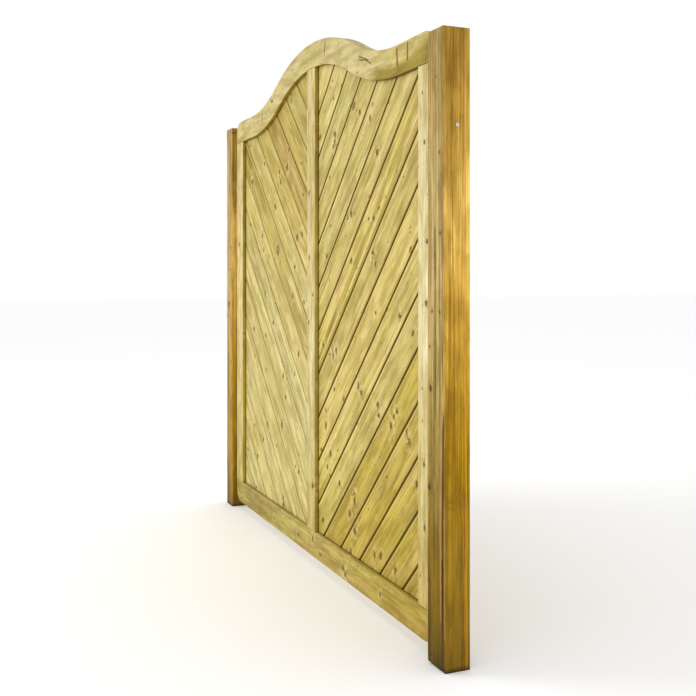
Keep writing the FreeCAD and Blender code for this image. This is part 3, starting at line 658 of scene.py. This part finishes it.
def rail_top(x):
    """Height of the top rail's upper edge: a crest arc, then a hollow arc out to the low point."""
    if abs(x) < TURN_X:
        return CREST_Z - CREST_RADIUS + math.sqrt(CREST_RADIUS ** 2 - x * x)
    return VALLEY_Z - math.sqrt(OVER_RADIUS ** 2 - (abs(x) - VALLEY_X) ** 2)


def rail_lines(rng):
    """Joint lines across the top rail, and checks along its grain at the hinge side."""
    lines = []
    for share, width in RAIL_JOINTS:
        x = share * VALLEY_X
        top = rail_top(x)
        lean = rng.uniform(-10, 25) * MM
        lines.append(((x, top - 5 * MM), (x - lean, top - 65 * MM), width, 0.9))
    for _ in range(RAIL_CHECKS):
        x = rng.uniform(0.5, 0.75) * VALLEY_X
        z = rail_top(x) - rng.uniform(30, 60) * MM
        lines.append(((x, z), (x + rng.uniform(40, 100) * MM, z - rng.uniform(0, 30) * MM),
                      4 * MM, 0.8))
    return lines


def dress_frame():
    rng = random.Random(SEED)
    up, right = Vector((0, 0, 1)), Vector((1, 0, 0))
    # height tints, partly painted light and shade: darker towards the foot, lighter at mid-height
    stile_tints = ((0.15, (0.9, 0.84, 0.62)), (0.5, (1.0, 0.96, 0.86)), (0.9, (1.08, 1.12, 1.25)),
                   (1.3, (0.99, 1.0, 1.05)))
    mullion_tints = ((0.15, (0.87, 0.85, 0.68)), (0.7, (0.98, 0.99, 0.99)),
                     (1.5, (0.92, 0.9, 0.88)))
    marks = random.Random(SEED + 1)
    lit = ((0.15, (1.3, 1.4, 1.4)), (0.9, (1.5, 1.72, 2.4)), (1.2, (1.4, 1.6, 1.8)),
           (1.55, (1.08, 1.2, 0.7)))
    shaded = ((0.1, (1.3, 1.4, 1.3)), (1.7, (1.0, 1.0, 1.0)))
    looks = {
        "stile_left": frame_finish(0, 1, mullion_tints, side_tint=shaded),
        "stile_right": frame_finish(0, -1, stile_tints, 
                                     spots=member_knots(marks, "stile_right", 6)),
        "mullion": frame_finish(0, 0, mullion_tints, extra=mullion_stain, side_tint=lit,
                                spots=member_knots(marks, "mullion", 2)),
    }
    for name, finish in looks.items():
        low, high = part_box(name)
        settings = frame_settings(rng, (low.x + high.x) / 2)
        assign(nodes[name], wood_material("wood_" + name, up, right, Y_AXIS,
                                          (rng.uniform(0, 9), 0, 0), settings, finish))
    for name in ("top_rail", "bottom_rail"):
        low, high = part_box(name)
        if name == "top_rail":
            settings = frame_settings(rng, (low.z + high.z) / 2, **{
                "Early": srgb(196, 182, 122), "Late": srgb(170, 150, 78), "Streaks": 0.35,
                "Ring Contrast": 0.12, "Knot Share": 0.3})
            finish = frame_finish(2, -1, ((1.5, (0.92, 0.9, 0.84)), (1.7, (0.93, 0.93, 0.96))),
                                  extra=rail_shadow, strokes=rail_lines(marks))
        else:
            settings = frame_settings(rng, (low.z + high.z) / 2, **{
                "Early": srgb(178, 158, 88), "Late": srgb(146, 120, 48), "Streaks": 0.7,
                "Blush": srgb(176, 144, 92), "Stain": srgb(158, 144, 52), "Blush Share": 0.7,
                "Stain Share": 0.6})
            finish = frame_finish(2, 1, ((0.0, (0.98, 0.95, 0.78)), (0.12, (1.02, 1.03, 0.98))),
                                  shade=0.15, extra=rail_foot,
                                  spots=member_knots(marks, "bottom_rail", 7))
        assign(nodes[name], wood_material("wood_" + name, right, up, Y_AXIS,
                                          (rng.uniform(0, 9), 0, 0), settings, finish))
    settings = frame_settings(rng, 0.0, Early=srgb(176, 140, 86), Late=srgb(132, 98, 50))
    assign(nodes["frame_pegs"], wood_material("wood_pegs", Y_AXIS, right, up, (0, 0, 0), settings))


# ---------------------------------------------------------------- posts
CRACK_HALF = 0.028               # half the width of an open check, as a share of the post's side
SOCKET_CLEARANCE, SOCKET_REACH = 1.6 * MM, 36 * MM     # the bolt's hole in the latch post
HEAD_CLEARANCE, HEAD_DEPTH = 0.3 * MM, 3 * MM          # the hole for the side screw's head


def rounded_square(columns, radius):
    """Points round a unit square with rounded corners, with their outward normals and side numbers.

    It starts at the front left and runs front, right, back, left. radius is a share of the side.
    """
    corners = [(radius, radius, 225), (1 - radius, radius, 315),
               (1 - radius, 1 - radius, 45), (radius, 1 - radius, 135)]
    points = []
    for side in range(4):
        cx, cy, angle = corners[side]
        for part in (-30, 0, 30):
            turn = math.radians(angle + part)
            points.append((cx + radius * math.cos(turn), cy + radius * math.sin(turn),
                           math.cos(turn), math.sin(turn), -1, 0.0))
        nx, ny, _ = corners[(side + 1) % 4]
        normal = ((0, -1), (1, 0), (0, 1), (-1, 0))[side]
        ax, ay = cx + normal[0] * radius, cy + normal[1] * radius
        bx, by = nx + normal[0] * radius, ny + normal[1] * radius
        for t in columns[side]:
            points.append((ax + (bx - ax) * t, ay + (by - ay) * t, normal[0], normal[1], side, t))
    return points


def spaced(count, marks):
    """Even places along a side, with the close ones that a crack needs at each mark."""
    places = {round(i / (count - 1), 4) for i in range(count)}
    for mark in marks:
        places = {p for p in places if abs(p - mark) > CRACK_HALF + 0.003}
        places |= {mark + CRACK_HALF * step for step in (-0.97, -0.5, 0.0, 0.5, 0.97)}
    return sorted(p for p in places if 0 <= p <= 1)


def crack_depth(crack, side, t, z):
    """How deep a drying check cuts in at a point, in metres. It tapers out at both ends."""
    if side != crack["side"] or not crack["low"] < z < crack["high"]:
        return 0.0
    share = (z - crack["low"]) / (crack["high"] - crack["low"])
    taper = min(1.0, 4.5 * share, 4.5 * (1 - share))
    broken = 0.55 + 0.45 * noise.noise(Vector((3.1, crack["at"] * 40, z * 9)))
    across = abs(t - crack["at"]) / CRACK_HALF
    return crack["depth"] * taper * broken * max(0.0, 1 - across)


def make_post(name, corners_foot, corners_top, foot_rise, cracks, seed):
    """Rough-sawn post: bowed and slightly tapered, with a foot cut out of square and open checks.

    corners_* give each corner's (x, y) shift in mm, front left, front right, back right, back left.
    foot_rise gives how far each of those corners of the foot is cut up, in mm.
    """
    low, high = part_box(name)
    columns = [spaced(30, [c["at"] for c in cracks if c["side"] == side]) for side in range(4)]
    ring = rounded_square(columns, 0.03)
    rows = 380
    shift = Vector((seed * 3.7, seed * 1.3, 0))
    skin = 0.5 * MM
    verts, faces, split = [], [], []

    def corner_mix(values, u, v):
        weights = ((1 - u) * (1 - v), u * (1 - v), u * v, (1 - u) * v)
        return sum(w * value for w, value in zip(weights, values))

    for row in range(rows + 1):
        share = row / rows
        for u, v, nx, ny, side, t in ring:
            z = low.z + (high.z - low.z) * share
            rise = corner_mix(foot_rise, u, v) * MM
            z += rise * max(0.0, 1 - z / 0.12)
            dx = [a[0] * (1 - share) + b[0] * share for a, b in zip(corners_foot, corners_top)]
            dy = [a[1] * (1 - share) + b[1] * share for a, b in zip(corners_foot, corners_top)]
            x = low.x + (high.x - low.x) * u + corner_mix(dx, u, v) * MM
            y = low.y + (high.y - low.y) * v + corner_mix(dy, u, v) * MM
            spot = Vector((x, y, z)) + shift
            wander = noise.noise(Vector((spot.x * 8, spot.y * 8, z * 2.2)))
            fuzz = noise.noise(Vector((spot.x * 420, spot.y * 420, z * 18)))
            saw = noise.noise(Vector((nx * 3, ny * 3, z * 170 + spot.x * 9)))
            press = skin + MM * (0.35 + 0.35 * wander + 0.22 * fuzz + 0.10 * saw)
            if side < 0:
                chip = noise.noise(Vector((spot.x * 30, spot.y * 30, z * 26)))
                press += MM * max(0.0, chip) * 2.0
            opened = sum(crack_depth(crack, side, t, z) for crack in cracks)
            press += opened
            split.append(min(1.0, opened / (3 * MM)))
            if t in (0.0, 1.0):
                press -= 0.1 * MM
            verts.append((x - nx * press, y - ny * press, z))
    count = len(ring)
    for row in range(rows):
        for k in range(count):
            a, b = row * count + k, row * count + (k + 1) % count
            faces.append((a, b, b + count, a + count))

    def cap(first, flip, dish):
        """Close an end with shrinking rings of rough end grain."""
        outer = [Vector(verts[first + k]) for k in range(count)]
        centre = sum(outer, Vector()) / count
        previous = list(range(first, first + count))
        for shrink in (0.985, 0.9, 0.78, 0.62, 0.45, 0.28, 0.12):
            ring_now = []
            for point in outer:
                p = centre.lerp(point, shrink)
                grit = noise.noise(Vector((p.x * 260, p.y * 260, seed))) * 0.35 * MM
                p.z += -dish * (0.4 * MM + grit) if shrink < 0.98 else -dish * 0.1 * MM
                ring_now.append(len(verts))
                verts.append(tuple(p))
            for k in range(count):
                quad = (previous[k], previous[(k + 1) % count],
                        ring_now[(k + 1) % count], ring_now[k])
                faces.append(quad[::-1] if flip else quad)
            previous = ring_now
        hub = len(verts)
        verts.append(tuple(centre - Vector((0, 0, dish * 0.4 * MM))))
        for k in range(count):
            tri = (previous[k], previous[(k + 1) % count], hub)
            faces.append(tri[::-1] if flip else tri)

    cap(0, True, -1)
    cap(rows * count, False, 1)
    mesh = bpy.data.meshes.new(name + "_timber")
    mesh.from_pydata(verts, [], faces)
    mesh.validate()
    mesh.polygons.foreach_set("use_smooth", [True] * len(mesh.polygons))
    split += [0.0] * (len(mesh.vertices) - len(split))
    mesh.attributes.new("split", "FLOAT", "POINT").data.foreach_set("value", split)
    post = bpy.data.objects.new(name + "_timber", mesh)
    bpy.context.scene.collection.objects.link(post)
    return post


def bore(piece, radius, start, end):
    """Cut a round hole from start to end."""
    axis = Vector(end) - Vector(start)
    bpy.ops.mesh.primitive_cylinder_add(vertices=40, radius=radius, depth=axis.length,
                                        location=(Vector(start) + Vector(end)) / 2,
                                        rotation=axis.to_track_quat("Z", "Y").to_euler())
    tool = bpy.context.object
    cut = piece.modifiers.new("bore", "BOOLEAN")
    cut.object, cut.operation, cut.solver = tool, "DIFFERENCE", "EXACT"
    bpy.context.view_layer.objects.active = piece
    bpy.ops.object.modifier_apply(modifier=cut.name)
    bpy.data.objects.remove(tool)


SIDE_STOPS = ((0.0, srgb(112, 84, 8)), (0.2, srgb(150, 117, 22)), (0.55, srgb(158, 119, 4)),
              (0.85, srgb(204, 160, 56)), (1.2, srgb(232, 190, 94)), (1.4, srgb(186, 145, 58)),
              (1.6, srgb(166, 130, 47)))
FRONT_STOPS = ((0.0, srgb(88, 68, 5)), (0.25, srgb(116, 89, 8)), (0.7, srgb(162, 138, 74)),
               (1.0, srgb(174, 150, 92)), (1.4, srgb(167, 143, 88)), (1.6, srgb(152, 129, 70)))
LATCH_FRONT = ((0.0, srgb(120, 94, 30)), (0.25, srgb(152, 120, 44)), (0.7, srgb(168, 144, 78)),
               (1.0, srgb(170, 148, 88)), (1.6, srgb(160, 136, 82)))


def post_finish(pith_x, front_stops, bands, strokes):
    """Faces weather apart: the sides stay golden and the front goes grey. The very foot is darker.

    The sawn ends show growth rings round a pith at pith_x. bands are stripes low on the side
    faces, as (y, width, strength, colour). strokes are checks, with painted shade along them,
    and dark streaks on the front face, as (start, end, width, strength, colour). The open checks
    get painted shade inside them too.
    """
    def finish(g, place, colour, height):
        x, y, z = g.split(place)
        normal = g.node("ShaderNodeTexCoord").outputs["Normal"]
        _, ny, nz = g.split(normal)
        drift = g.math("MULTIPLY_ADD", g.noise(place, (14, 14, 2.2), 3.0), 0.5, -0.25)
        level = g.math("ADD", z, drift)
        front = g.ramp(g.math("MULTIPLY", ny, -1.0), 0.45, 0.8)
        rear = g.math("MULTIPLY", g.ramp(ny, 0.45, 0.8), 0.6)
        tone = g.mix(g.math("MAXIMUM", front, rear), height_profile(g, level, SIDE_STOPS),
                     height_profile(g, level, front_stops))
        colour = g.mix(1.0, tone, colour, "MULTIPLY")
        # painted highlight along the rounded arrises, partly a lighter worn edge
        arris = g.math("MULTIPLY", bell(g, g.math("ABSOLUTE", ny), 0.7, 0.2), 0.35)
        worn_arris_highlight = g.mix(1.0, colour, (1.35, 1.4, 1.6), "MULTIPLY")
        colour = g.mix(arris, colour, worn_arris_highlight)
        side = g.ramp(g.math("ABSOLUTE", ny), 0.5, 0.2)
        for centre, width, strength, tint in bands:
            band = g.math("MULTIPLY", bell(g, y, centre, width), g.ramp(z, 0.85, 0.6))
            colour = g.mix(g.math("MULTIPLY", g.math("MULTIPLY", band, side), strength),
                           colour, tint)
        # painted shade along the checks, and dark streaks
        for start, end, width, strength, tint in strokes:
            line = g.math("MULTIPLY", stroke(g, place, start, end, width, strength), front)
            colour = g.mix(line, colour, tint)
            height = g.math("MULTIPLY_ADD", line, -1.0, height)
        ends = g.ramp(g.math("ABSOLUTE", nz), 0.6, 0.9)
        away = g.vector("LENGTH", g.combine(g.math("SUBTRACT", x, pith_x),
                                            g.math("SUBTRACT", y, 0.01), 0.0))
        away = g.math("MULTIPLY_ADD", g.noise(place, (60, 60, 1), 2.0), 0.003, away)
        ring = g.ramp(g.math("FRACT", g.math("DIVIDE", away, 0.0055)), 0.35, 0.95)
        grain = g.mix(ring, srgb(178, 144, 82), srgb(112, 80, 34))
        colour = g.mix(g.math("MULTIPLY", ends, 0.72), colour, grain)
        # painted shade inside the open checks
        split = g.node("ShaderNodeAttribute", attribute_name="split").outputs["Fac"]
        colour = g.mix(g.ramp(split, 0.05, 0.8, 0.0, 0.9), colour, srgb(60, 40, 8))
        # darker at the very foot
        foot = g.ramp(z, 0.016, 0.002)
        return g.mix(g.math("MULTIPLY", foot, 0.75), colour, srgb(48, 36, 8)), height
    return finish


def dress_posts():
    up, right = Vector((0, 0, 1)), Vector((1, 0, 0))
    hinge_cracks = [
        {"side": 0, "at": 0.88, "low": 0.05, "high": 0.66, "depth": 8 * MM},
        {"side": 0, "at": 0.9, "low": 0.7, "high": 0.86, "depth": 5 * MM},
        {"side": 0, "at": 0.47, "low": 0.62, "high": 1.18, "depth": 4 * MM},
        {"side": 1, "at": 0.34, "low": 0.95, "high": 1.27, "depth": 3 * MM},
        {"side": 1, "at": 0.93, "low": 0.05, "high": 0.72, "depth": 3 * MM},
        {"side": 2, "at": 0.55, "low": 0.35, "high": 1.45, "depth": 6 * MM},
    ]
    latch_cracks = [
        {"side": 0, "at": 0.3, "low": 0.5, "high": 1.5, "depth": 5 * MM},
        {"side": 3, "at": 0.5, "low": 0.2, "high": 1.2, "depth": 5 * MM},
        {"side": 2, "at": 0.4, "low": 0.1, "high": 0.8, "depth": 4 * MM},
    ]
    check_shade_brown, strip, golden = srgb(72, 46, 6), srgb(178, 142, 92), srgb(206, 146, 26)
    hinge_bands = (
        (0.027, 0.0035, 0.6, golden), (0.0, 0.012, 0.25, srgb(166, 132, 30)),
        (0.0345, 0.003, 0.5, srgb(128, 98, 22)), (-0.03, 0.004, 0.35, srgb(110, 82, 14)))
    # the dark strokes are painted shade along the front checks; the strip strokes are lighter slivers
    # of wood
    hinge_strokes = (
        ((0.979, 0.68), (0.974, 0.38), 5.0 * MM, 0.9, check_shade_brown),
        ((0.974, 0.43), (0.972, 0.23), 3.5 * MM, 0.75, check_shade_brown),
        ((0.972, 0.3), (0.971, 0.17), 6.5 * MM, 0.95, check_shade_brown),
        ((0.971, 0.22), (0.969, -0.02), 4.5 * MM, 0.6, check_shade_brown),
        ((0.964, 0.72), (0.961, 0.1), 5.0 * MM, 0.5, strip),
        ((0.981, 0.45), (0.98, 0.06), 3.0 * MM, 0.5, strip),
        ((0.937, 1.18), (0.937, 0.62), 5.5 * MM, 0.6, srgb(92, 72, 36)),
        ((0.936, 1.15), (0.937, 1.0), 9.0 * MM, 0.45, srgb(96, 78, 42)))
    looks = {
        "post_right": post_finish(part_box("post_right")[0].x + 0.03, FRONT_STOPS, hinge_bands,
                                  hinge_strokes),
        "post_left": post_finish(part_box("post_left")[0].x + 0.03, LATCH_FRONT, (), ()),
    }
    square = ((0, 0), (0, 0), (0, 0), (0, 0))
    made = {
        "post_right": make_post("post_right", ((0, 0), (0, 6.5), (0, -4.5), (0, -1)),
                                ((0, 0), (0, 0), (0, -4.5), (0, -1)), (7, 0, 0, 0),
                                hinge_cracks, 1),
        "post_left": make_post("post_left", ((0, 1), (0, 0), (0, -1), (0, 0)), square,
                               (0, 1, 2, 0), latch_cracks, 2),
    }
    for number, (name, post) in enumerate(made.items()):
        rng = random.Random(SEED + 50 + number)
        low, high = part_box(name)
        settings = {
            "Pith Across": (low.x + high.x) / 2 - 0.012, "Pith Depth": 0.01, "Pith Tilt": 0.006,
            "Ring Width": 0.0048, "Ring Contrast": 0.75, "Knot Share": 0.3, "Knot Size": 0.008,
            "Early": (1.16, 1.16, 1.2), "Late": (0.66, 0.6, 0.4),
            "Blush": (1.08, 0.96, 0.86), "Stain": (0.8, 0.84, 0.6),
            "Blush Share": 0.5, "Stain Share": 0.45, "Streaks": 1.7,
        }
        material = wood_material("wood_" + name, up, right, Y_AXIS, (rng.uniform(0, 9), 0, 0),
                                 settings, looks[name], 0.8)
        assign(post, material)
        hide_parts(name)
        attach(post, "root")
    rod_low, rod_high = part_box("bolt_rod")
    hole = (rod_low + rod_high) / 2
    keep_low, keep_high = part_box("keep_plate")
    bore(made["post_left"], (rod_high.z - rod_low.z) / 2 + SOCKET_CLEARANCE,
         (keep_high.x, hole.y, hole.z), (keep_low.x - SOCKET_REACH, hole.y, hole.z))
    head_low, head_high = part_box("post_side_screw")
    head = (head_low + head_high) / 2
    bore(made["post_right"], (head_high.z - head_low.z) / 2 + HEAD_CLEARANCE,
         (head_high.x + 5 * MM, head.y, head.z), (head_high.x - HEAD_DEPTH, head.y, head.z))


# ---------------------------------------------------------------- ironmongery
def steel_material(name, base, rough, spangle):
    material = bpy.data.materials.new(name)
    material.use_nodes = True
    tree = material.node_tree
    tree.nodes.clear()
    g = Graph(tree)
    place = g.node("ShaderNodeTexCoord").outputs["Object"]
    cells = g.node("ShaderNodeTexVoronoi")
    g.feed(cells.inputs["Vector"], place)
    cells.inputs["Scale"].default_value = spangle
    tone, _, _ = g.split(cells.outputs["Color"])
    cloud = g.noise(place, (90, 90, 90), 3.0)
    level = g.math("MULTIPLY_ADD", tone, 0.16, 0.84)
    level = g.math("MULTIPLY", level, g.math("MULTIPLY_ADD", cloud, 0.2, 0.9))
    shader = g.node("ShaderNodeBsdfPrincipled")
    g.feed(shader.inputs["Base Color"], g.mix(1.0, base, g.grey(level), "MULTIPLY"))
    g.feed(shader.inputs["Roughness"], g.math("MULTIPLY_ADD", cloud, 0.25, rough))
    shader.inputs["Metallic"].default_value = 0.9
    relief = g.node("ShaderNodeBump")
    relief.inputs["Strength"].default_value = 0.2
    relief.inputs["Distance"].default_value = 0.0002
    g.feed(relief.inputs["Height"], g.noise(place, (1400, 1400, 1400), 2.0))
    g.feed(shader.inputs["Normal"], relief.outputs["Normal"])
    out = g.node("ShaderNodeOutputMaterial")
    g.feed(out.inputs["Surface"], shader.outputs["BSDF"])
    return material


def dress_ironmongery():
    dull = steel_material("galvanised_steel", srgb(196, 200, 202), 0.38, 260)
    bright = steel_material("bright_steel", srgb(214, 215, 214), 0.2, 600)
    screws = steel_material("screw_steel", srgb(222, 214, 196), 0.28, 700)
    slots = {"galvanised_steel": dull, "bright_steel": bright, "screw_steel": screws}
    for part in frame["record"]["subparts"]:
        if part["material_slot"] in slots:
            assign(nodes[part["node"]], slots[part["material_slot"]])


# ---------------------------------------------------------------- floor, light and camera
def make_stage():
    mesh = bpy.data.meshes.new("floor")
    size = 30.0
    mesh.from_pydata([(-size, -size, 0), (size, -size, 0), (size, size, 0), (-size, size, 0)],
                     [], [(0, 1, 2, 3)])
    floor = bpy.data.objects.new("floor", mesh)
    bpy.context.scene.collection.objects.link(floor)
    material = bpy.data.materials.new("pale_floor")
    material.use_nodes = True
    shader = material.node_tree.nodes["Principled BSDF"]
    shader.inputs["Base Color"].default_value = (0.97, 0.97, 0.97, 1)
    shader.inputs["Roughness"].default_value = 0.9
    floor.data.materials.append(material)


def area_light(name, place, target, size, power):
    light = bpy.data.lights.new(name, "AREA")
    light.shape, light.size, light.energy = "SQUARE", size, power
    lamp = bpy.data.objects.new(name, light)
    bpy.context.scene.collection.objects.link(lamp)
    lamp.location = place
    lamp.rotation_euler = (Vector(target) - Vector(place)).to_track_quat("-Z", "Y").to_euler()


def make_light():
    world = bpy.data.worlds.new("studio")
    bpy.context.scene.world = world
    world.use_nodes = True
    background = world.node_tree.nodes["Background"]
    background.inputs["Color"].default_value = (1.0, 1.0, 1.0, 1)
    background.inputs["Strength"].default_value = 1.0
    area_light("key", (-2.2, -4.6, 3.6), (0, 0, 1.0), 2.6, 110)


def make_camera():
    camera = bpy.data.cameras.new("camera")
    camera.sensor_width = 36.0
    camera.lens = 49.15
    camera.shift_y = -0.1098
    view = bpy.data.objects.new("camera", camera)
    bpy.context.scene.collection.objects.link(view)
    view.location = (3.1032, -1.2201, 1.0241)
    view.rotation_euler = (math.radians(90), 0, 1.1633)
    bpy.context.scene.camera = view


make_camera()
make_light()
make_stage()
dress_boards()
dress_frame()
dress_posts()
dress_ironmongery()

bpy.context.scene.view_settings.view_transform = "Standard"
